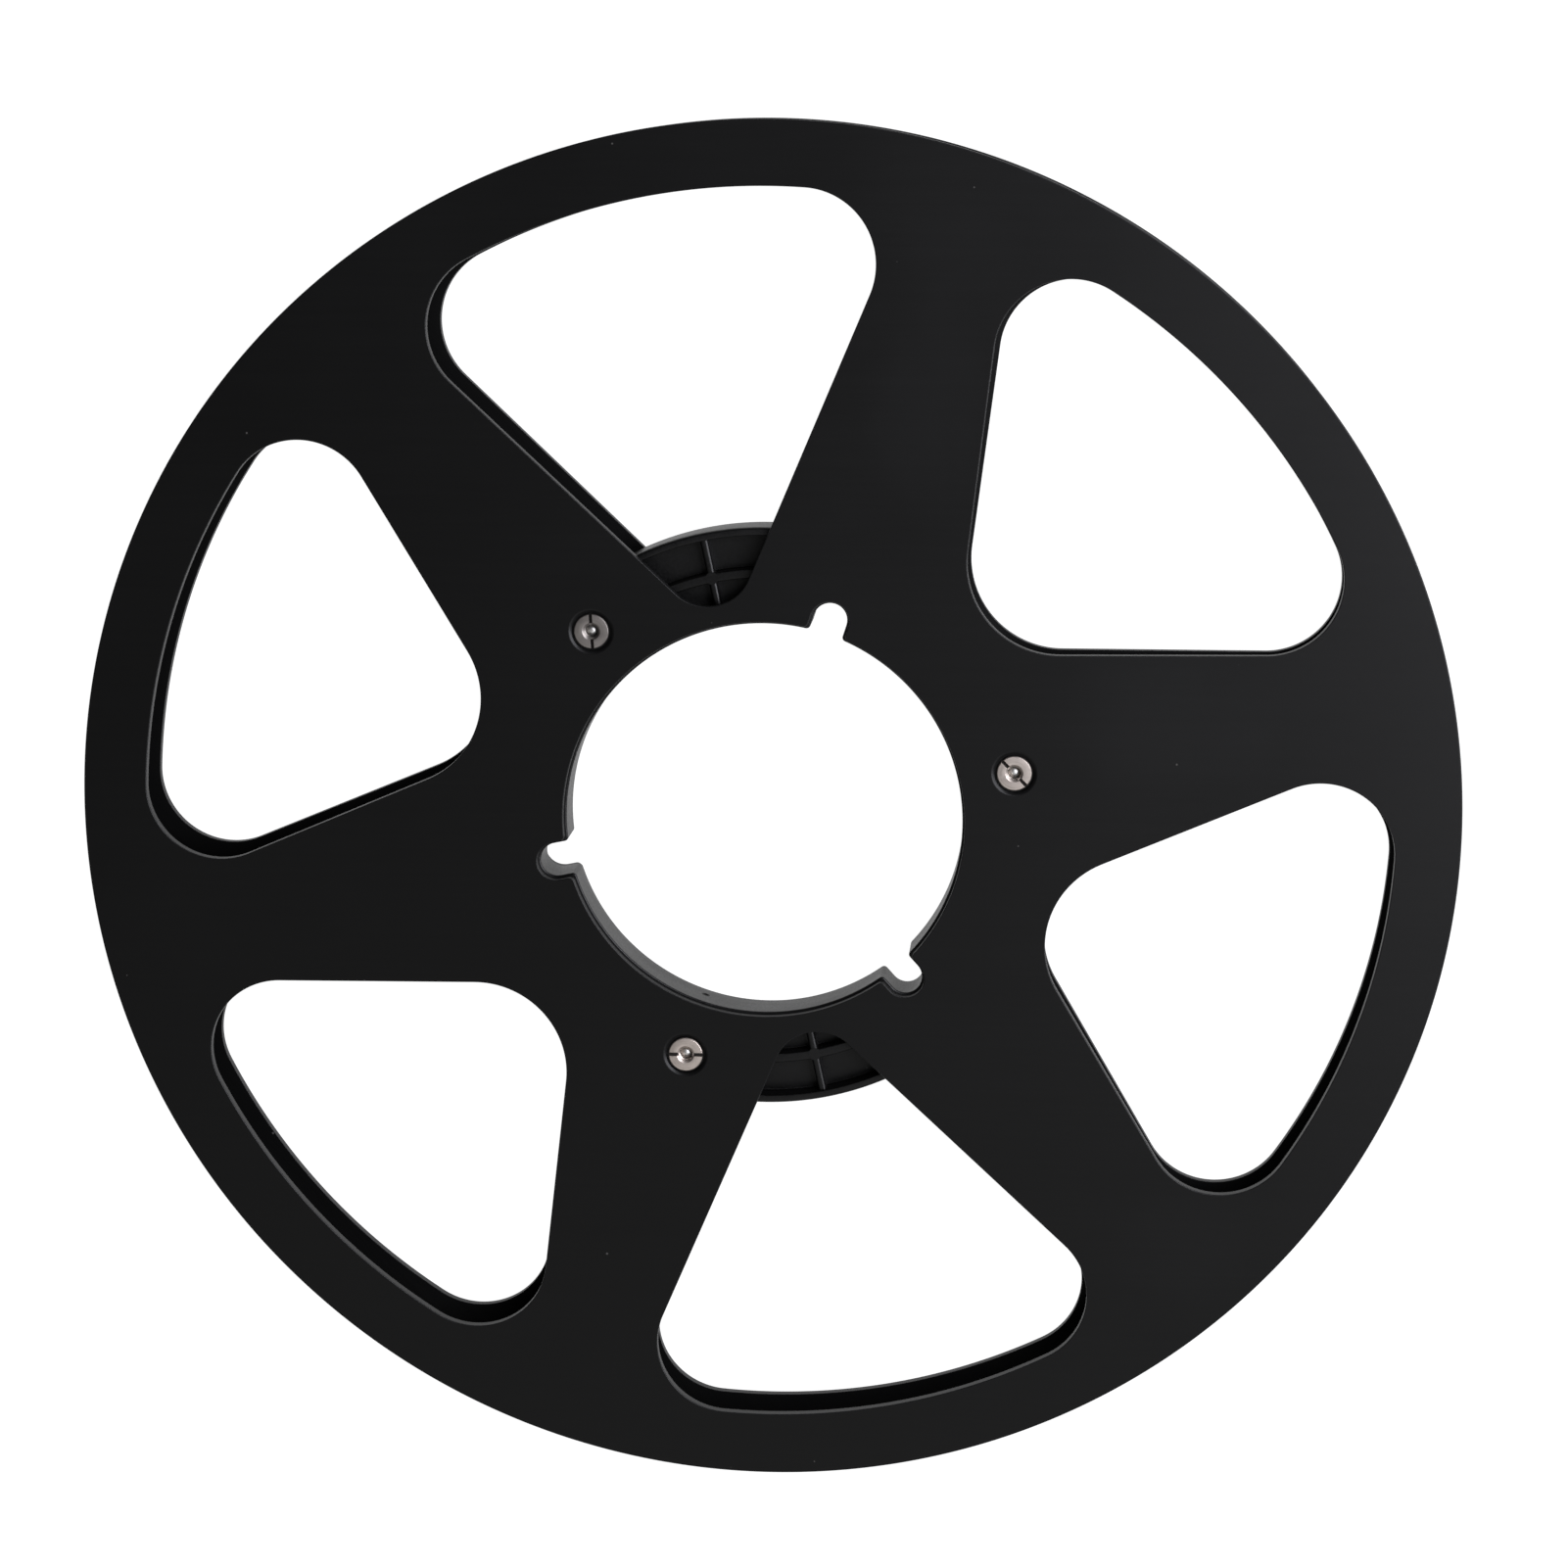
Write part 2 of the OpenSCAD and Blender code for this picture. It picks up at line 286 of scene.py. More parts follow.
def make_flange(name, clocking, hole_r, outside_up):
    """Sheet with rounded edges. Built with its outer face up at z = 0 and its
    inner face at -FLANGE_T, then put in place."""
    e, inner = 0.4, 0.16
    plain, plain_n = rounded([(-e, 0), (0, 0), (0, -FLANGE_T), (-inner, -FLANGE_T)],
                             [0, e * 0.98, inner * 0.96, 0], 4)
    rim, rim_n = rounded([(-0.5, 0), (0, 0), (0, -FLANGE_T), (-0.5, -FLANGE_T)],
                         [0, 0.45, 0.45, 0], 5)
    verts, normals, faces = [], [], []
    top_rings, bottom_rings = [], []

    def add(vs, ns):
        at = sum(len(v) for v in verts)
        verts.append(vs)
        normals.append(ns)
        return at

    def band(loop, prof, prof_n):
        mitre, unit = loop_normals(loop)
        n, rows = len(loop), len(prof)
        vs = np.zeros((rows, n, 3))
        ns = np.zeros((rows, n, 3))
        for k in range(rows):
            vs[k, :, :2] = loop + mitre * prof[k, 0]
            vs[k, :, 2] = prof[k, 1]
            ns[k, :, :2] = unit * prof_n[k, 0]
            ns[k, :, 2] = prof_n[k, 1]
        at = add(vs.reshape(-1, 3), ns.reshape(-1, 3))
        for k in range(rows - 1):
            for i in range(n):
                j = (i + 1) % n
                faces.append((at + k * n + i, at + (k + 1) * n + i,
                              at + (k + 1) * n + j, at + k * n + j))
        top_rings.append((at, vs[0, :, :2]))
        bottom_rings.append((at + (rows - 1) * n, vs[-1, :, :2]))

    outer = arc((0, 0), REEL_R, 0, 360, 0.5)[:-1]
    band(outer, rim, rim_n)
    loops = []
    for a in (90, 270):
        loops.append(turn(window(*DEEP), a + clocking)[::-1])
    for a in (30, 150, 210, 330):
        loops.append(turn(window(*SHALLOW), a + clocking)[::-1])
    loops.append(notched_circle(FLANGE_HOLE_R, NOTCH_H + NOTCH_RELIEF,
                                NOTCH_REACH + NOTCH_RELIEF, 1.0, clocking)[::-1])
    for loop in loops:
        band(loop, plain, plain_n)
    # fastener seats: dished mouth, recess floor and a hole, turned
    seat = [(-4.75, 0), (-4.25, 0), (-3.8, -0.3), (-3.8, -1.0), (-hole_r, -1.0),
            (-hole_r, -FLANGE_T), (-hole_r - 0.3, -FLANGE_T)]
    prof, prof_n = rounded(seat, [0, 1.2, 0.1, 0.06, 0.06, 0.1, 0], 6)
    for a in FASTENERS:
        c = polar(FAST_R, a)
        loop = arc(c, 1.0, 0, 360, 3.75)[:-1][::-1]
        unit = c - loop                       # points into the hole
        n, rows = len(loop), len(prof)
        vs = np.zeros((rows, n, 3))
        ns = np.zeros((rows, n, 3))
        for k in range(rows):
            vs[k, :, :2] = c + unit * prof[k, 0]
            vs[k, :, 2] = prof[k, 1]
            ns[k, :, :2] = unit * prof_n[k, 0]
            ns[k, :, 2] = prof_n[k, 1]
        at = add(vs.reshape(-1, 3), ns.reshape(-1, 3))
        for k in range(rows - 1):
            for i in range(n):
                j = (i + 1) % n
                faces.append((at + k * n + i, at + (k + 1) * n + i,
                              at + (k + 1) * n + j, at + k * n + j))
        top_rings.append((at, vs[0, :, :2]))
        bottom_rings.append((at + (rows - 1) * n, vs[-1, :, :2]))
    for rings, z, up in ((top_rings, 0.0, 1), (bottom_rings, -FLANGE_T, -1)):
        grid, tris = fill(rings[0][1], [r[1] for r in rings[1:]])
        index = np.concatenate([np.arange(len(r[1])) + r[0] for r in rings])
        g = np.zeros((len(grid), 3))
        g[:, :2] = grid
        g[:, 2] = z
        at = add(g, np.tile([0.0, 0.0, float(up)], (len(grid), 1)))
        index = np.concatenate([index, np.arange(len(grid)) + at])
        for t in index[tris]:
            faces.append(tuple(int(i) for i in (t if up > 0 else t[::-1])))
    v, n = np.concatenate(verts), np.concatenate(normals)
    if outside_up:
        v[:, 2] += OVERALL
    else:
        v[:, 2] *= -1
        n[:, 2] *= -1
        faces = [f[::-1] for f in faces]
    return flush(v, faces, n, name)


# ---------------------------------------------------------------- hub
def on_ring(r, specials, step, skip=()):
    """Points round a circle that pass through the special angles, as runs.
    Stretches whose middle lies in skip are left out."""
    s = sorted(a % 360 for a in specials)
    runs = []
    for i, a in enumerate(s):
        b = s[(i + 1) % len(s)] + (360 if i == len(s) - 1 else 0)
        mid = ((a + b) / 2) % 360
        if any(abs((mid - m + 180) % 360 - 180) < w for m, w in skip):
            continue
        n = max(1, int(round((b - a) / step)))
        runs.append(polar(r, np.linspace(a, b, n + 1)))
    return runs


def crossing(R, c, r):
    """Angle, seen from the origin, where a circle of radius r round (c, 0)
    meets the circle of radius R round the origin."""
    return math.degrees(math.acos((R * R + c * c - r * r) / (2 * R * c)))


def around(c, r, R):
    """The same crossing, as an angle round (c, 0)."""
    a = math.radians(crossing(R, c, r))
    return math.degrees(math.atan2(R * math.sin(a), R * math.cos(a) - c))


NODE_R, NODE_AT = 1.2, 47.95
BOSS_R = 4.5
RING0 = RING_R - RING_WALL
RIM0 = HUB_R - HUB_WALL
CORE = BORE_R + BORE_WALL
WALL_H = NOTCH_H + BORE_WALL
NOTCH_C = NOTCH_REACH - NOTCH_H
RIBS = [30 * k for k in range(12)]
NODE_RIBS = [30, 90, 150, 210, 270, 330]
Z_SLEEVE = 5.2
LEVEL_A, LEVEL_N, LEVEL_B, LEVEL_C = Z1, Z1 - 0.56, Z1 - 0.6, 7.05


def hub_curves():
    """Every boundary of the hub's plan, as runs of points that meet exactly."""
    runs = []
    runs += on_ring(HUB_R, [0], 1.25)
    runs += on_ring(RIM0, [0], 1.25)
    # ring, broken at the bosses
    for R in (RING_R, RING0):
        sp, skip = [], []
        w = crossing(R, FAST_R, BOSS_R)
        for a in FASTENERS:
            sp += [a - w, a + w]
            skip.append((a, w))
        runs += on_ring(R, sp, 1.25, skip)
    # outer side of the bore wall, broken at the notch walls
    sp, skip = [], []
    w = math.degrees(math.asin(WALL_H / CORE))
    for a in NOTCHES:
        sp += [a - w, a + w]
        skip.append((a, w))
    runs += on_ring(CORE, sp, 1.25, skip)
    for a in NOTCHES:
        x0 = math.sqrt(CORE ** 2 - WALL_H ** 2)
        for s in (-1, 1):
            runs.append(turn([(x0, s * WALL_H), (NOTCH_C, s * WALL_H)], a))
        runs.append(turn(arc((NOTCH_C, 0), WALL_H, -90, 90, 6), a))
    # bosses with their holes
    cuts = []
    for R in (RING_R, RING0):
        k = around(FAST_R, BOSS_R, R)
        cuts += [k, -k]
    for a in FASTENERS:
        for run in on_ring(BOSS_R, cuts, 6):
            runs.append(turn(run + np.array([FAST_R, 0]), a))
        for r in (2.38, 1.58):
            runs.append(turn(arc((FAST_R, 0), r, 0, 360, 5), a))
    bore = notched_circle(BORE_R, NOTCH_H, NOTCH_REACH, 0.8)
    runs.append(np.concatenate([bore, bore[:1]]))
    return runs, bore


def hub_level(p, bore):
    """Top and bottom height of the hub at the points p; nan where it's open."""
    x, y = p[:, 0], p[:, 1]
    r = np.hypot(x, y)
    top = np.full(len(p), LEVEL_C)
    is_b = (r > RING0) & (r < RING_R)
    is_a = (r > RIM0) | (r < CORE)
    hole_s = np.zeros(len(p), bool)
    hole_t = np.zeros(len(p), bool)
    for a in RIBS:
        c, s = math.cos(math.radians(a)), math.sin(math.radians(a))
        u, v = x * c + y * s, -x * s + y * c
        if a in NOTCHES:
            is_a |= (np.abs(v) < WALL_H) & (u > 30) & (u < NOTCH_C)
            is_a |= np.hypot(u - NOTCH_C, v) < WALL_H
        if a in FASTENERS:
            d = np.hypot(u - FAST_R, v)
            is_a |= d < BOSS_R
            hole_s |= d < 2.38
            hole_t |= d < 1.58
    top[is_b] = LEVEL_B
    top[is_a] = LEVEL_A
    low = OVERALL - top
    top[hole_s] = Z_SLEEVE
    gone = hole_t | inside(p, bore) | (r > HUB_R)
    top[gone] = np.nan
    low[gone] = np.nan
    return top, low


def hub_ribs():
    """The twelve ribs as bars with rounded tops, reaching a little into the
    walls that they stand between."""
    top, low = LEVEL_B - RIB_CREST, OVERALL - LEVEL_B + RIB_CREST
    h, q = RIB_H, RIB_ROUND
    section, _ = rounded([(h, low), (h, top), (-h, top), (-h, low)],
                         [q, q, q, q], 5, closed=True)
    bars = []
    for a in RIBS:
        if a in FASTENERS:
            spans = [(CORE - 0.35, FAST_R - BOSS_R + 0.35), (FAST_R + BOSS_R - 0.35, RIM0 + 0.35)]
        elif a in NOTCHES:
            spans = [(NOTCH_C + WALL_H - 0.35, RIM0 + 0.35)]
        else:
            spans = [(CORE - 0.35, RIM0 + 0.35)]
        for x0, x1 in spans:
            bar = prism("rib", section, x1 - x0)
            bar.data.transform(Matrix.Rotation(math.radians(a), 4, "Z")
                               @ Matrix.Translation(((x0 + x1) / 2 * MM, 0, 0)))
            bars.append(bar)
    return gather("ribs", bars)


def hub_nodes():
    """The round nodes where six of the ribs cross the ring."""
    top, low = LEVEL_N, OVERALL - LEVEL_N
    pins = []
    for a in NODE_RIBS:
        pin = turned("node", *rounded([(0, top), (NODE_R, top), (NODE_R, low), (0, low)],
                                      [0, 0, 0, 0], 1), n=64)
        pin.data.transform(Matrix.Rotation(math.radians(a), 4, "Z")
                           @ Matrix.Translation((NODE_AT * MM, 0, 0)))
        pins.append(pin)
    return gather("nodes", pins)


def gather(name, parts):
    """One object with the meshes of the given ones."""
    bm = bmesh.new()
    for part in parts:
        bm.from_mesh(part.data)
        me = part.data
        bpy.data.objects.remove(part)
        bpy.data.meshes.remove(me)
    me = bpy.data.meshes.new(name)
    bm.to_mesh(me)
    bm.free()
    ob = bpy.data.objects.new(name, me)
    bpy.context.scene.collection.objects.link(ob)
    return ob


def make_hub(name):
    runs, bore = hub_curves()
    pts, edges, seen = [], [], {}

    def vid(p):
        key = (round(p[0], 4), round(p[1], 4))
        if key not in seen:
            seen[key] = len(pts)
            pts.append((float(p[0]), float(p[1])))
        return seen[key]

    for run in runs:
        ids = [vid(p) for p in run]
        edges += [(a, b) for a, b in zip(ids, ids[1:]) if a != b]
    vs, es, fs, ov, _, _ = delaunay_2d_cdt(
        [Vector(p) for p in pts], edges, [], 0, 1e-6, True)
    P = np.array([tuple(v) for v in vs])
    tris = np.array([list(f) for f in fs])
    a, b, c = P[tris[:, 0]], P[tris[:, 1]], P[tris[:, 2]]
    area = (b[:, 0] - a[:, 0]) * (c[:, 1] - a[:, 1]) - (b[:, 1] - a[:, 1]) * (c[:, 0] - a[:, 0])
    tris[area < 0] = tris[area < 0][:, ::-1]
    top, low = hub_level(P[tris].mean(1), bore)
    ok = ~np.isnan(top)
    tris, top, low = tris[ok], top[ok], low[ok]
    heights = {}
    for t, zt, zl in zip(tris, top, low):
        for i in t:
            heights.setdefault(int(i), set()).update((round(float(zt), 4), round(float(zl), 4)))
    bm = bmesh.new()
    made = {}

    def vert(i, z):
        key = (int(i), round(float(z), 4))
        if key not in made:
            made[key] = bm.verts.new((P[i][0], P[i][1], z))
        return made[key]

    sides = {}
    for t, zt, zl in zip(tris, top, low):
        bm.faces.new([vert(i, zt) for i in t])
        bm.faces.new([vert(i, zl) for i in t[::-1]])
        for k in range(3):
            sides[(int(t[k]), int(t[(k + 1) % 3]))] = (float(zt), float(zl))

    def wall(i, j, hi, lo):
        """Face that looks away from the side on which the material is, seen
        along the edge from i to j with the material on the left."""
        hi, lo = round(hi, 4), round(lo, 4)
        if hi - lo < 1e-6:
            return
        up_j = [z for z in sorted(heights[j]) if lo < z < hi]
        down_i = [z for z in sorted(heights[i], reverse=True) if lo < z < hi]
        ring = [vert(i, lo), vert(j, lo)] + [vert(j, z) for z in up_j]
        ring += [vert(j, hi), vert(i, hi)] + [vert(i, z) for z in down_i]
        bm.faces.new(ring)

    for (i, j), (zt, zl) in sides.items():
        other = sides.get((j, i))
        if other is None:
            wall(i, j, zt, zl)
        else:
            if zt > other[0]:
                wall(i, j, zt, other[0])
            if zl < other[1]:
                wall(i, j, other[1], zl)
    bmesh.ops.dissolve_limit(bm, angle_limit=0.002, use_dissolve_boundaries=False,
                             verts=bm.verts, edges=bm.edges)
    open_edges = [e for e in bm.edges if len(e.link_faces) != 2]
    print("hub plan mesh:", len(bm.verts), "verts, open edges", len(open_edges))
    # how far each sharp edge is rounded
    me = bpy.data.meshes.new(name)
    weight = bm.edges.layers.float.new("bevel_weight_edge")
    top_z = (LEVEL_A, OVERALL - LEVEL_A)
    mid_z = (LEVEL_B, OVERALL - LEVEL_B)
    W = 0.62

    def in_notch(c):
        for t in map(math.radians, NOTCHES):
            u, v = c.x * math.cos(t) + c.y * math.sin(t), c.y * math.cos(t) - c.x * math.sin(t)
            if u > 30 and math.hypot(max(u - NOTCH_C, 0), v) < NOTCH_H + 0.95:
                return True
        return False

    for e in bm.edges:
        if len(e.link_faces) != 2 or e.calc_face_angle(0) < 0.5:
            continue
        p, q = e.verts[0].co, e.verts[1].co
        m = (p + q) / 2
        r = math.hypot(m.x, m.y)
        w = 0.2
        if abs(p.z - q.z) < 1e-4:
            z = p.z
            if any(abs(z - k) < 1e-3 for k in top_z):
                if r > HUB_R - 0.5:
                    w = 0.62
                elif r < BORE_R + 0.3 or in_notch(m):
                    w = 0.3
                else:
                    w = 0.22
            elif any(abs(z - k) < 1e-3 for k in mid_z):
                w = 0.28
            elif any(abs(z - k) < 1e-3 for k in (LEVEL_C, OVERALL - LEVEL_C)):
                w = 0.3
            else:
                w = 0.12
        e[weight] = w / W
    bm.to_mesh(me)
    bm.free()
    me.transform(Matrix.Scale(MM, 4))
    ob = bpy.data.objects.new(name, me)
    bpy.context.scene.collection.objects.link(ob)
    mod = ob.modifiers.new("round", "BEVEL")
    mod.limit_method = "WEIGHT"
    mod.width = W * MM
    mod.segments = 3
    mod.use_clamp_overlap = False
    mod.miter_outer = "MITER_SHARP"
    mod.loop_slide = False
    bake(ob)
    join(ob, hub_ribs())
    join(ob, hub_nodes())
    # moulding gate mark in the wall of the bore
    cut = turned("gate_cut", *rounded([(0, 0.75), (0.55, 0.75), (0.95, 0.4), (0.95, -0.75), (0, -0.75)],
                                      [0, 0.2, 0.2, 0, 0], 3), n=36)
    cut.matrix_world = (Matrix.Rotation(math.radians(240.0), 4, "Z")
                        @ Matrix.Translation(((BORE_R - 0.47) * MM, 0, 5.8 * MM))
                        @ Matrix.Rotation(math.radians(90), 4, "Y"))
    carve(ob, cut)
    settle(ob, 35)
    return ob


# ---------------------------------------------------------------- turned parts
def turned(name, prof, prof_n=None, n=72, thread=None):
    """Solid of revolution round Z from an open profile that starts and ends on
    the axis, or a closed one off the axis. thread = (i, pitch, depth, fade)
    puts a helical groove on the run between profile points i and i + 1, faded out over fade at its ends."""
    prof = np.asarray(prof, float)
    closed = prof[0, 0] > 1e-9
    bm = bmesh.new()
    cols = []
    ang = 2 * math.pi * np.arange(n) / n

    def ring(r, z):
        return [bm.verts.new((r * math.cos(a), r * math.sin(a), z)) for a in ang]

    rows = []
    for k, (r, z) in enumerate(prof):
        if r < 1e-9:
            rows.append([bm.verts.new((0, 0, z))])
        else:
            rows.append(ring(r, z))
    m = len(rows)
    for k in range(m if closed else m - 1):
        if thread and k == thread[0]:
            continue
        A, B = rows[k], rows[(k + 1) % m]
        for i in range(n):
            j = (i + 1) % n
            if len(A) == 1:
                bm.faces.new((A[0], B[i], B[j]))
            elif len(B) == 1:
                bm.faces.new((A[i], B[0], A[j]))
            else:
                bm.faces.new((A[i], B[i], B[j], A[j]))
    if thread:
        k, pitch, depth, fade = thread
        (r0, za), (r1, zb) = prof[k], prof[(k + 1) % m]
        lo, hi = min(za, zb), max(za, zb)
        shape = (1, 1, .667, .333, 0, 0, .333, .667)
        s = len(shape)
        count = int(math.ceil((hi - lo) / pitch * s)) + s + 1
        grid = []
        for i in range(count + 1):
            row = []
            for j in range(n):
                z = lo + pitch * (i / s + j / n) - pitch
                zc = min(max(z, lo), hi)
                f = min(1.0, max(0.0, min(zc - lo, hi - zc) / fade))
                f = f * f * (3 - 2 * f)
                cut = (1 - shape[i % s]) if depth < 0 else shape[i % s]
                r = r0 + depth * cut * f
                a = ang[j]
                row.append(bm.verts.new((r * math.cos(a), r * math.sin(a), zc)))
            grid.append(row)
        for i in range(count):
            for j in range(n):
                a, d = grid[i][j], grid[i + 1][j]
                if j + 1 < n:
                    b, c = grid[i][j + 1], grid[i + 1][j + 1]
                else:
                    b, c = grid[min(i + s, count)][0], grid[min(i + 1 + s, count)][0]
                if len({a, b, c, d}) < 4:
                    continue
                # outward for a wall that runs down, inward for one that runs up
                bm.faces.new((a, b, c, d) if za > zb else (a, d, c, b))
    bmesh.ops.remove_doubles(bm, verts=bm.verts, dist=2e-5)
    bmesh.ops.dissolve_degenerate(bm, edges=bm.edges, dist=1e-6)
    bad = sum(1 for e in bm.edges if len(e.link_faces) != 2)
    if bad:
        print(name, "edges without two faces:", bad)
    me = bpy.data.meshes.new(name)
    bm.to_mesh(me)
    bm.free()
    me.transform(Matrix.Scale(MM, 4))
    ob = bpy.data.objects.new(name, me)
    bpy.context.scene.collection.objects.link(ob)
    return ob


def prism(name, section, length):
    """Closed prism along X with the given (y, z) section."""
    bm = bmesh.new()
    a = [bm.verts.new((-length / 2, y, z)) for y, z in section]
    b = [bm.verts.new((length / 2, y, z)) for y, z in section]
    n = len(section)
    for i in range(n):
        j = (i + 1) % n
        bm.faces.new((a[i], b[i], b[j], a[j]))
    bm.faces.new(a)
    bm.faces.new(b[::-1])
    bmesh.ops.recalc_face_normals(bm, faces=bm.faces)
    me = bpy.data.meshes.new(name)
    bm.to_mesh(me)
    bm.free()
    me.transform(Matrix.Scale(MM, 4))
    ob = bpy.data.objects.new(name, me)
    bpy.context.scene.collection.objects.link(ob)
    return ob


def bake(ob):
    """Applies the modifiers and the object's place to its mesh."""
    bpy.context.view_layer.update()
    dg = bpy.context.evaluated_depsgraph_get()
    me = bpy.data.meshes.new_from_object(ob.evaluated_get(dg))
    ob.modifiers.clear()
    me.transform(ob.matrix_world)
    ob.matrix_world = Matrix.Identity(4)
    old = ob.data
    ob.data = me
    bpy.data.meshes.remove(old)
    return ob


def join(ob, other):
    combine(ob, other, "UNION")


def carve(ob, cutter):
    combine(ob, cutter, "DIFFERENCE")


def combine(ob, cutter, operation):
    mod = ob.modifiers.new("both", "BOOLEAN")
    mod.operation = operation
    mod.solver = "EXACT"
    mod.object = cutter
    bake(ob)
    bpy.data.objects.remove(cutter)
    bm = bmesh.new()
    bm.from_mesh(ob.data)
    bmesh.ops.remove_doubles(bm, verts=bm.verts, dist=1e-7)
    bmesh.ops.dissolve_degenerate(bm, edges=bm.edges, dist=1e-7)
    bm.to_mesh(ob.data)
    bm.free()


def settle(ob, angle):
    """Smooth shading that keeps flats flat and true corners sharp."""
    me = ob.data
    me.polygons.foreach_set("use_smooth", [True] * len(me.polygons))
    me.set_sharp_from_angle(angle=math.radians(angle))
    mod = ob.modifiers.new("flats", "WEIGHTED_NORMAL")
    mod.keep_sharp = True
    mod.weight = 80
    return ob


def place(ob, angle, z=0.0):
    c = polar(FAST_R, angle) * MM
    ob.data.transform(Matrix.Translation((c[0], c[1], z * MM)))


HEAD_R, SLEEVE_R, NUT_BORE, THREAD_R = 3.4, 2.3, 1.3, 1.25
NUT_LEAD, TIP_DEPTH = 0.42, 1.2
Z_NUT = OVERALL - 0.1
Z_SEAT = Z_NUT - 0.88
PITCH = 0.45


def make_nut(name, fastener, slot_angle):
    prof = [(NUT_BORE, Z_NUT - 0.28), (NUT_BORE + NUT_LEAD, Z_NUT), (HEAD_R - 0.2, Z_NUT),
            (HEAD_R, Z_NUT - 0.2), (HEAD_R, Z_SEAT), (SLEEVE_R, Z_SEAT),
            (SLEEVE_R, 5.7), (SLEEVE_R - 0.2, 5.5), (NUT_BORE + 0.25, 5.5),
            (NUT_BORE, 5.75), (NUT_BORE, Z_NUT - 0.5)]
    rad = [0.05, 0.05, 0.06, 0.06, 0.05, 0.05, 0.05, 0.05, 0.04, 0, 0]
    p, _ = rounded(prof, rad, 3, closed=True)
    start = int(np.argmin(np.abs(p[:, 0] - NUT_BORE) + np.abs(p[:, 1] - 5.75)))
    ob = turned(name, p, thread=(start, PITCH, 0.24, 0.3))
    w = 0.3
    z = Z_NUT
    cut = prism("slot", [(-w, z - 0.6), (w, z - 0.6), (w, z - 0.07), (w + 0.07, z),
                         (w + 0.07, z + 1), (-w - 0.07, z + 1), (-w - 0.07, z),
                         (-w, z - 0.07)], 12)
    cut.matrix_world = Matrix.Rotation(math.radians(slot_angle), 4, "Z")
    carve(ob, cut)
    settle(ob, 32)
    place(ob, fastener)
    return ob


def make_screw(name, fastener, slot_angle):
    tip = Z_NUT - TIP_DEPTH
    r_point = THREAD_R - 0.33
    r_dome = (r_point ** 2 + 0.34 ** 2) / (2 * 0.34)
    half = math.asin(r_point / r_dome)
    dome = [(r_dome * math.sin(half * k / 8), tip - r_dome + r_dome * math.cos(half * k / 8))
            for k in range(9)]
    head = [(THREAD_R, tip - 0.7), (THREAD_R, 1.15), (THREAD_R, 0.98), (HEAD_R, 0.98), (HEAD_R, 0.3),
            (HEAD_R - 0.2, 0.1), (0, 0.1)]
    p, _ = rounded(dome + head, [0] * 9 + [0, 0, 0.12, 0.06, 0.08, 0.08, 0], 3)
    start = int(np.argmin(np.abs(p[:, 0] - THREAD_R) + np.abs(p[:, 1] - (tip - 0.7))))
    ob = turned(name, p, thread=(start, PITCH, -0.25, 0.4))
    w, z = 0.45, 0.1
    cut = prism("slot", [(-w, z + 0.5), (w, z + 0.5), (w, z + 0.07), (w + 0.07, z),
                         (w + 0.07, z - 1), (-w - 0.07, z - 1), (-w - 0.07, z),
                         (-w, z + 0.07)], 12)
    cut.matrix_world = Matrix.Rotation(math.radians(slot_angle), 4, "Z")
    carve(ob, cut)
    settle(ob, 32)
    place(ob, fastener)
    return ob


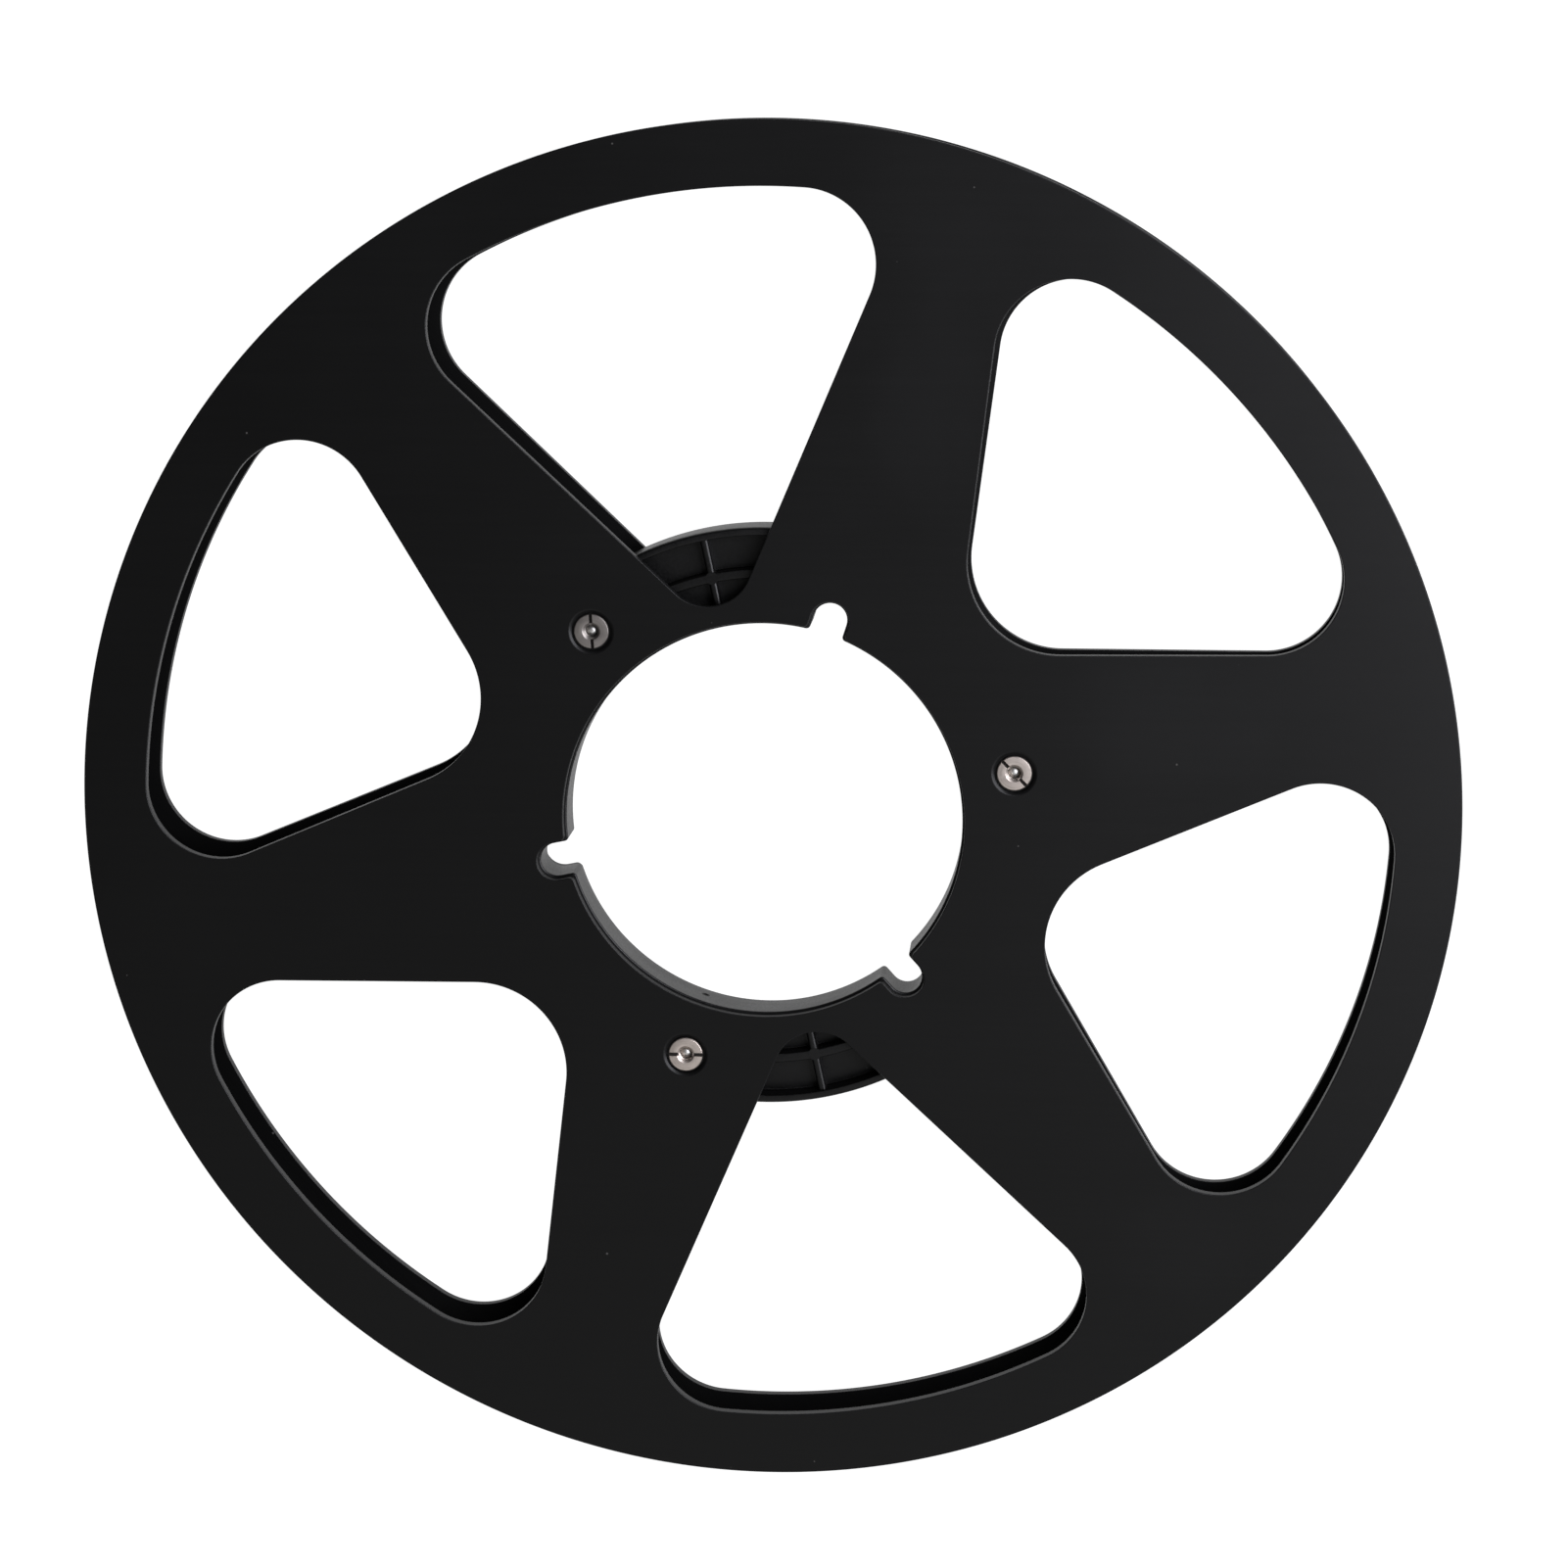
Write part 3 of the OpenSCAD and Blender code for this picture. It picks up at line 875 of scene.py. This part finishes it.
# ---------------------------------------------------------------- materials
class Nodes:
    """Short hand for building a node tree."""

    def __init__(self, name):
        self.mat = bpy.data.materials.new(name)
        self.mat.use_nodes = True
        self.t = self.mat.node_tree
        self.t.nodes.clear()
        self.out = self.t.nodes.new("ShaderNodeOutputMaterial")
        self.bsdf = self.t.nodes.new("ShaderNodeBsdfPrincipled")
        self.t.links.new(self.bsdf.outputs[0], self.out.inputs[0])
        self.coord = self.t.nodes.new("ShaderNodeTexCoord")

    def link(self, a, b):
        self.t.links.new(a, b)

    def mapping(self, src, loc=(0, 0, 0), rot=0.0, scale=(1, 1, 1)):
        n = self.t.nodes.new("ShaderNodeMapping")
        n.inputs["Location"].default_value = loc
        n.inputs["Rotation"].default_value = (0, 0, math.radians(rot))
        n.inputs["Scale"].default_value = scale
        self.link(src, n.inputs["Vector"])
        return n.outputs[0]

    def noise(self, vec, scale=1.0, detail=2.0, rough=0.5, dims="3D"):
        n = self.t.nodes.new("ShaderNodeTexNoise")
        n.noise_dimensions = dims
        n.inputs["Scale"].default_value = scale
        n.inputs["Detail"].default_value = detail
        n.inputs["Roughness"].default_value = rough
        self.link(vec, n.inputs["Vector" if dims != "1D" else "W"])
        return n.outputs[0]

    def math(self, op, a, b=None, c=None, clamp=False):
        n = self.t.nodes.new("ShaderNodeMath")
        n.operation = op
        n.use_clamp = clamp
        for k, v in enumerate((a, b, c)):
            if v is None:
                continue
            if isinstance(v, (int, float)):
                n.inputs[k].default_value = v
            else:
                self.link(v, n.inputs[k])
        return n.outputs[0]

    def ramp(self, fac, stops, interp="LINEAR"):
        n = self.t.nodes.new("ShaderNodeValToRGB")
        n.color_ramp.interpolation = interp
        el = n.color_ramp.elements
        while len(el) < len(stops):
            el.new(0.5)
        for e, (pos, col) in zip(el, stops):
            e.position = pos
            if isinstance(col, (int, float)):
                col = (col, col, col)
            e.color = (*col, 1)
        self.link(fac, n.inputs[0])
        return n.outputs[0]

    def rescale(self, v, a, b, c, d, smooth=False):
        n = self.t.nodes.new("ShaderNodeMapRange")
        n.interpolation_type = "SMOOTHSTEP" if smooth else "LINEAR"
        for k, x in zip(("From Min", "From Max", "To Min", "To Max"), (a, b, c, d)):
            n.inputs[k].default_value = x
        self.link(v, n.inputs["Value"])
        return n.outputs[0]

    def mix(self, fac, a, b):
        n = self.t.nodes.new("ShaderNodeMix")
        n.data_type = "RGBA"
        for sock, v in ((0, fac), (6, a), (7, b)):
            if isinstance(v, (int, float)):
                if sock == 0:
                    n.inputs[0].default_value = v
                else:
                    n.inputs[sock].default_value = (v, v, v, 1)
            elif isinstance(v, tuple):
                n.inputs[sock].default_value = (*v, 1)
            else:
                self.link(v, n.inputs[sock])
        return n.outputs[2]

    def split(self, v):
        n = self.t.nodes.new("ShaderNodeSeparateXYZ")
        self.link(v, n.inputs[0])
        return n.outputs

    def voronoi(self, vec, scale, dims="2D", feature="F1", randomness=1.0):
        n = self.t.nodes.new("ShaderNodeTexVoronoi")
        n.voronoi_dimensions = dims
        n.feature = feature
        n.inputs["Scale"].default_value = scale
        n.inputs["Randomness"].default_value = randomness
        self.link(vec, n.inputs["Vector"])
        return n.outputs

    def bump(self, height, strength, distance, normal=None):
        n = self.t.nodes.new("ShaderNodeBump")
        n.inputs["Strength"].default_value = strength
        n.inputs["Distance"].default_value = distance
        self.link(height, n.inputs["Height"])
        if normal is not None:
            self.link(normal, n.inputs["Normal"])
        return n.outputs[0]

    def set(self, **values):
        for k, v in values.items():
            sock = self.bsdf.inputs[k.replace("_", " ")]
            if isinstance(v, (int, float, tuple)):
                sock.default_value = v if not isinstance(v, tuple) else (*v, 1)
            else:
                self.link(v, sock)


def anodised(name, grain_turn, seed, pale_patches=()):
    """Black anodised sheet: very fine straight grain, soft cloudy pale patches at
    the listed spots, a few specks of dust, and rounded edges painted lighter,
    partly as wear and partly as a painted highlight."""
    m = Nodes(name)
    base = m.coord.outputs["Object"]
    obj = m.mapping(base, loc=(seed, seed * 0.7, 0))
    along = m.mapping(obj, rot=grain_turn)
    fine = m.noise(m.mapping(along, scale=(70, 5600, 5600)), 1, 2, 0.6)
    streak = m.noise(m.mapping(along, scale=(30, 1700, 1700)), 1, 3, 0.55)
    broad = m.noise(m.mapping(along, scale=(14, 70, 70)), 1, 3, 0.5)
    cloud = m.noise(obj, 22, 3, 0.55)
    nz = m.math("ABSOLUTE", m.split(m.coord.outputs["Normal"])[2])
    flat = m.rescale(nz, 0.93, 0.995, 0, 1, True)
    cut = m.rescale(nz, 0.30, 0.08, 0, 1, True)
    grain = m.math("ADD", m.math("MULTIPLY", fine, 0.45), m.math("MULTIPLY", streak, 0.55))
    tone = m.math("ADD", m.math("MULTIPLY", grain, 0.55), m.math("MULTIPLY", broad, 0.20))
    tone = m.math("ADD", tone, m.math("MULTIPLY", cloud, 0.25))
    face = m.ramp(tone, [(0.34, (0.0012, 0.0012, 0.0012)), (0.50, (0.0015, 0.0015, 0.0015)),
                         (0.66, (0.0019, 0.0019, 0.0019))])
    # soft patches painted a little lighter and bluish at the listed spots
    for cx, cy, rx, ry, a in pale_patches:
        c, sn = math.cos(math.radians(PHOTO_TURN)), math.sin(math.radians(PHOTO_TURN))
        px, py = (cx * c - cy * sn) * MM, (cx * sn + cy * c) * MM
        local = m.mapping(m.mapping(base, loc=(-px, -py, 0)), rot=-PHOTO_TURN,
                          scale=(1, 1, 1))
        u, v, _ = m.split(local)
        q = m.math("ADD", m.math("POWER", m.math("MULTIPLY", u, 1 / (rx * MM)), 2.0),
                   m.math("POWER", m.math("MULTIPLY", v, 1 / (ry * MM)), 2.0))
        q = m.math("ADD", q, m.rescale(m.noise(obj, 55, 3, 0.55), 0.3, 0.7, -0.6, 0.6))
        face = m.mix(m.rescale(q, 2.4, -0.3, 0, a, True), face, (0.030, 0.0305, 0.033))
    wall = m.ramp(m.noise(obj, 900, 2, 0.5),
                  [(0.3, (0.0035, 0.0035, 0.0036)), (0.7, (0.0070, 0.0070, 0.0072))])
    col = m.mix(cut, face, wall)
    # the rounded edges are painted lighter, partly as wear and partly as a painted highlight, less so in the
    # fastener seats
    edge_wear_and_sheen_noise = m.rescale(m.noise(obj, 420, 3, 0.6), 0.40, 0.66, 0, 1, True)
    edge = m.math("MULTIPLY", m.math("SUBTRACT", 1.0, flat), m.math("SUBTRACT", 1.0, cut))
    seat = 1.0
    for a in FASTENERS:
        c = polar(FAST_R, a) * MM
        x, y, _ = m.split(m.mapping(base, loc=(-c[0], -c[1], 0)))
        d = m.math("SQRT", m.math("ADD", m.math("MULTIPLY", x, x), m.math("MULTIPLY", y, y)))
        seat = m.math("MULTIPLY", m.rescale(d, 0.0058, 0.0064, 0.22, 1.0), seat)
    edge_wear_and_sheen = m.math("MULTIPLY", m.math("MULTIPLY", edge, seat),
                  m.math("MULTIPLY_ADD", edge_wear_and_sheen_noise, 0.35, 0.35))
    # lighter colour on the rounded edges: wear mixed with a painted highlight
    col = m.mix(edge_wear_and_sheen, col, (0.013, 0.013, 0.0135))
    # dust
    vor = m.voronoi(obj, 62)
    size = m.rescale(m.split(vor["Color"])[0], 0.86, 1.0, 0.0, 0.016)
    speck = m.math("MULTIPLY", m.math("LESS_THAN", vor["Distance"], size), flat)
    col = m.mix(m.math("MULTIPLY", speck, 0.5), col, (0.12, 0.115, 0.11))
    rough = m.math("ADD", m.rescale(grain, 0.35, 0.65, 0.356, 0.370),
                   m.rescale(cloud, 0.3, 0.7, -0.012, 0.016))
    rough = m.math("ADD", rough, m.math("MULTIPLY", cut, 0.15))
    height = m.math("MULTIPLY", m.math("ADD", m.math("MULTIPLY", fine, 0.4),
                                       m.math("MULTIPLY", streak, 0.8)), flat)
    pits = m.math("MULTIPLY", m.noise(obj, 2600, 2, 0.6), cut)
    height = m.math("ADD", height, m.math("MULTIPLY", pits, 1.5))
    nrm = m.bump(height, 0.06, 0.00003)
    m.set(Base_Color=col, Roughness=rough, Metallic=0.0, Normal=nrm)
    m.bsdf.inputs["IOR"].default_value = 1.5
    m.bsdf.inputs["Specular IOR Level"].default_value = 0.25
    return m.mat


def plastic(name):
    """Black moulded plastic with a fine texture and faint flow marks."""
    m = Nodes(name)
    obj = m.coord.outputs["Object"]
    flow = m.noise(m.mapping(obj, scale=(40, 40, 160)), 1, 3, 0.6)
    micro = m.noise(obj, 2600, 3, 0.6)
    orange = m.noise(obj, 420, 2, 0.5)
    col = m.ramp(m.math("ADD", m.math("MULTIPLY", flow, 0.6), m.math("MULTIPLY", micro, 0.4)),
                 [(0.30, (0.0006, 0.0006, 0.0006)), (0.55, (0.0012, 0.0012, 0.0012)),
                  (0.75, (0.0022, 0.0022, 0.0023))])
    vor = m.voronoi(obj, 300, "3D")
    size = m.rescale(m.split(vor["Color"])[1], 0.88, 1.0, 0.0, 0.05)
    speck = m.math("LESS_THAN", vor["Distance"], size)
    col = m.mix(m.math("MULTIPLY", speck, 0.5), col, (0.12, 0.115, 0.11))
    rough = m.math("ADD", m.rescale(flow, 0.3, 0.7, 0.29, 0.38),
                   m.rescale(micro, 0.3, 0.7, -0.04, 0.06))
    # upright walls are textured more coarsely
    nz = m.math("ABSOLUTE", m.split(m.coord.outputs["Normal"])[2])
    rough = m.math("ADD", rough, m.rescale(nz, 0.5, 0.1, 0.0, 0.11))
    height = m.math("ADD", m.math("MULTIPLY", micro, 0.5), m.math("MULTIPLY", orange, 1.2))
    m.set(Base_Color=col, Roughness=rough, Normal=m.bump(height, 0.30, 0.00004))
    m.bsdf.inputs["IOR"].default_value = 1.5
    m.bsdf.inputs["Specular IOR Level"].default_value = 0.32
    return m.mat


def turned_metal(name, centre, tint, rough0, top):
    """Turned and nickel-plated steel: rings round the piece's own axis."""
    m = Nodes(name)
    obj = m.coord.outputs["Object"]
    local = m.mapping(obj, loc=(-centre[0], -centre[1], 0))
    x, y, z = m.split(local)
    r = m.math("SQRT", m.math("ADD", m.math("MULTIPLY", x, x), m.math("MULTIPLY", y, y)))
    comb = m.t.nodes.new("ShaderNodeCombineXYZ")
    m.link(m.math("MULTIPLY", r, 9000.0), comb.inputs[0])
    m.link(m.math("MULTIPLY", z, 9000.0), comb.inputs[1])
    m.link(m.math("MULTIPLY", m.math("ARCTAN2", y, x), 0.35), comb.inputs[2])
    rings = m.noise(comb.outputs[0], 1, 3, 0.6)
    spots = m.noise(obj, 1900, 3, 0.6)
    haze = m.noise(obj, 330, 3, 0.55)
    t = m.math("ADD", m.math("MULTIPLY", rings, 0.45), m.math("MULTIPLY", haze, 0.55))
    dark = tuple(c * 0.70 for c in tint)
    light = tuple(min(1.0, c * 1.12) for c in tint)
    col = m.ramp(t, [(0.32, dark), (0.5, tint), (0.68, light)])
    stain = m.rescale(spots, 0.58, 0.76, 0, 1, True)
    col = m.mix(m.math("MULTIPLY", stain, 0.45), col, tuple(c * 0.45 for c in tint))
    # painted shade: near-black colour in the driver slot and down the sides of the head
    deep = m.rescale(m.math("SUBTRACT", m.split(obj)[2], (top - 0.12) * MM), -0.00006, 0.00006, 1, 0)
    if top < 1:
        deep = m.rescale(m.math("SUBTRACT", m.split(obj)[2], (top + 0.12) * MM), -0.00006, 0.00006, 0, 1)
    near = m.rescale(m.math("ABSOLUTE", m.math("SUBTRACT", m.split(obj)[2], top * MM)), 0.0011, 0.0013, 1, 0)
    painted_slot_shade = m.math("MULTIPLY", m.math("MULTIPLY", deep, near), m.rescale(r, 0.00150, 0.00160, 0, 1))
    # painted shade darkens the slot and the sides of the head
    col = m.mix(m.math("MULTIPLY", painted_slot_shade, 0.95), col, (0.012, 0.011, 0.010))
    rough = m.math("ADD", m.rescale(rings, 0.3, 0.7, rough0 - 0.05, rough0 + 0.06),
                   m.math("MULTIPLY", stain, 0.12))
    rough = m.math("ADD", rough, m.math("MULTIPLY", painted_slot_shade, 0.3))
    height = m.math("ADD", rings, m.math("MULTIPLY", spots, 0.3))
    m.set(Base_Color=col, Roughness=rough, Metallic=1.0, Normal=m.bump(height, 0.13, 0.00002))
    return m.mat


def floor_material():
    m = Nodes("pale_floor")
    soft = m.noise(m.coord.outputs["Object"], 3, 2, 0.5)
    m.set(Base_Color=m.ramp(soft, [(0.3, 0.10), (0.7, 0.12)]), Roughness=0.9)
    m.bsdf.inputs["Emission Color"].default_value = (1, 1, 1, 1)
    m.bsdf.inputs["Emission Strength"].default_value = 1.0
    return m.mat


# ---------------------------------------------------------------- the pieces
mat_front = anodised("anodised_front", -PHOTO_TURN, 0.0, [
    (31, 80, 9, 17, 0.06), (75, 20, 17, 10, 0.045), (82, -84, 10, 9, 0.03),
    (38, 110, 10, 7, 0.03)])
mat_rear = anodised("anodised_rear", -PHOTO_TURN + 48.0, 1.37)
mat_hub = plastic("moulded_hub")

front = make_flange("front_flange_sheet", 0.0, 2.45, True)
front.data.materials.append(mat_front)
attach(front, "reel")
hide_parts("front_flange")

rear = make_flange("rear_flange_sheet", REAR_CLOCKING, 1.4, False)
rear.data.materials.append(mat_rear)
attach(rear, "reel")
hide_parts("rear_flange")

hub = make_hub("moulded_hub_body")
hub.data.materials.clear()
hub.data.materials.append(mat_hub)
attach(hub, "reel")
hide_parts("hub")

# the three nuts share one plated finish; their tints differ as painted light and shade, the second nut
# painted darkest
NUT_LIT_AND_SHADED_TINTS = ((0.565, 0.502, 0.455), (0.290, 0.267, 0.250), (0.640, 0.565, 0.510))
for i in range(3):
    centre = polar(FAST_R, FASTENERS[i]) * MM
    nut = make_nut(f"slotted_sleeve_nut_{i + 1}", FASTENERS[i], NUT_SLOTS[i])
    nut.data.materials.clear()
    nut.data.materials.append(
        turned_metal(f"plated_nut_{i + 1}", centre, NUT_LIT_AND_SHADED_TINTS[i], 0.42, Z_NUT))
    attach(nut, f"sleeve_nut_{i + 1}")
    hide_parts(f"sleeve_nut_{i + 1}")
    screw = make_screw(f"clamping_screw_{i + 1}", FASTENERS[i], SCREW_SLOTS[i])
    screw.data.materials.clear()
    screw.data.materials.append(
        turned_metal(f"plated_screw_{i + 1}", centre, (0.72, 0.715, 0.69), 0.42, 0.1))
    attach(screw, f"screw_{i + 1}")
    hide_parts(f"screw_{i + 1}")

# ---------------------------------------------------------------- floor
me = bpy.data.meshes.new("floor")
s = 6.0
me.from_pydata([(-s, -s, 0), (s, -s, 0), (s, s, 0), (-s, s, 0)], [], [(0, 1, 2, 3)])
floor = bpy.data.objects.new("floor", me)
bpy.context.scene.collection.objects.link(floor)
floor.location.z = -0.0003
floor.data.materials.append(floor_material())

# ---------------------------------------------------------------- camera
spin = Matrix.Rotation(math.radians(PHOTO_TURN), 3, "Z")
R0 = Vector((0.99683061, 0.0, -0.07955335))
R1 = Vector((0.01585063, -0.97994966, 0.19861376))
R2 = Vector((-0.07795828, -0.19924525, -0.97684381))
ax, ay, az = spin @ R0, spin @ (-R1), spin @ (-R2)
cam_data = bpy.data.cameras.new("camera")
cam = bpy.data.objects.new("camera", cam_data)
bpy.context.scene.collection.objects.link(cam)
m4 = Matrix((
    (ax.x, ay.x, az.x, 0.08527),
    (ax.y, ay.y, az.y, 0.12772),
    (ax.z, ay.z, az.z, 0.67506),
    (0, 0, 0, 1)))
cam.matrix_world = m4
cam_data.sensor_width = 36.0
cam_data.lens = 80.91
cam_data.clip_start, cam_data.clip_end = 0.02, 50
bpy.context.scene.camera = cam


# ---------------------------------------------------------------- light
def soft_light(name, azimuth, elevation, distance, size, power, colour=(1, 1, 1), aim=(0, 0, 0.006)):
    """Square soft light. The azimuth is measured in the photograph's frame."""
    a = math.radians(azimuth + PHOTO_TURN)
    e = math.radians(elevation)
    d = Vector((math.cos(a) * math.cos(e), math.sin(a) * math.cos(e), math.sin(e)))
    data = bpy.data.lights.new(name, "AREA")
    data.shape = "RECTANGLE"
    data.size, data.size_y = size
    data.energy = power
    data.color = colour
    ob = bpy.data.objects.new(name, data)
    bpy.context.scene.collection.objects.link(ob)
    ob.location = Vector(aim) + d * distance
    ob.rotation_mode = "QUATERNION"
    ob.rotation_quaternion = d.to_track_quat("Z", "Y")
    return ob


soft_light("key", 20, 47.6, 1.2, (1.0, 1.0), 20.9, (0.975, 0.98, 1.06))

world = bpy.data.worlds.new("studio")
bpy.context.scene.world = world
world.use_nodes = True
wt = world.node_tree
bg = wt.nodes["Background"]
tc = wt.nodes.new("ShaderNodeTexCoord")
mp = wt.nodes.new("ShaderNodeMapping")
mp.inputs["Rotation"].default_value = (0, 0, math.radians(-PHOTO_TURN))
sep = wt.nodes.new("ShaderNodeSeparateXYZ")
wt.links.new(tc.outputs["Generated"], mp.inputs["Vector"])
wt.links.new(mp.outputs[0], sep.inputs[0])


def world_math(op, a, b, clamp=False):
    n = wt.nodes.new("ShaderNodeMath")
    n.operation = op
    for k, v in enumerate((a, b)):
        if isinstance(v, (int, float)):
            n.inputs[k].default_value = v
        else:
            wt.links.new(v, n.inputs[k])
    return n.outputs[0]


# the room is brighter towards the right and towards the bottom of the picture
level = world_math("ADD", world_math("MULTIPLY", sep.outputs[0], 0.563),
                   world_math("MULTIPLY", sep.outputs[1], -1.738))
level = world_math("ADD", level, 0.02)
level = world_math("MINIMUM", world_math("MAXIMUM", level, 0.05), 0.6)
low = wt.nodes.new("ShaderNodeMapRange")
low.interpolation_type = "SMOOTHSTEP"
for k, v in (("From Min", 0.2), ("From Max", 0.72), ("To Min", 0.12), ("To Max", 1.0)):
    low.inputs[k].default_value = v
wt.links.new(sep.outputs[2], low.inputs["Value"])
level = world_math("MULTIPLY", level, low.outputs[0])
# past the edge of the floor the camera sees the same pale tone
seen = wt.nodes.new("ShaderNodeLightPath").outputs["Is Camera Ray"]
level = world_math("ADD", world_math("MULTIPLY", level, world_math("SUBTRACT", 1.0, seen)), seen)
wt.links.new(level, bg.inputs["Strength"])
bg.inputs["Color"].default_value = (1.0, 1.0, 0.99, 1)

bpy.context.scene.view_settings.view_transform = "Standard"
bpy.context.scene.view_settings.look = "None"
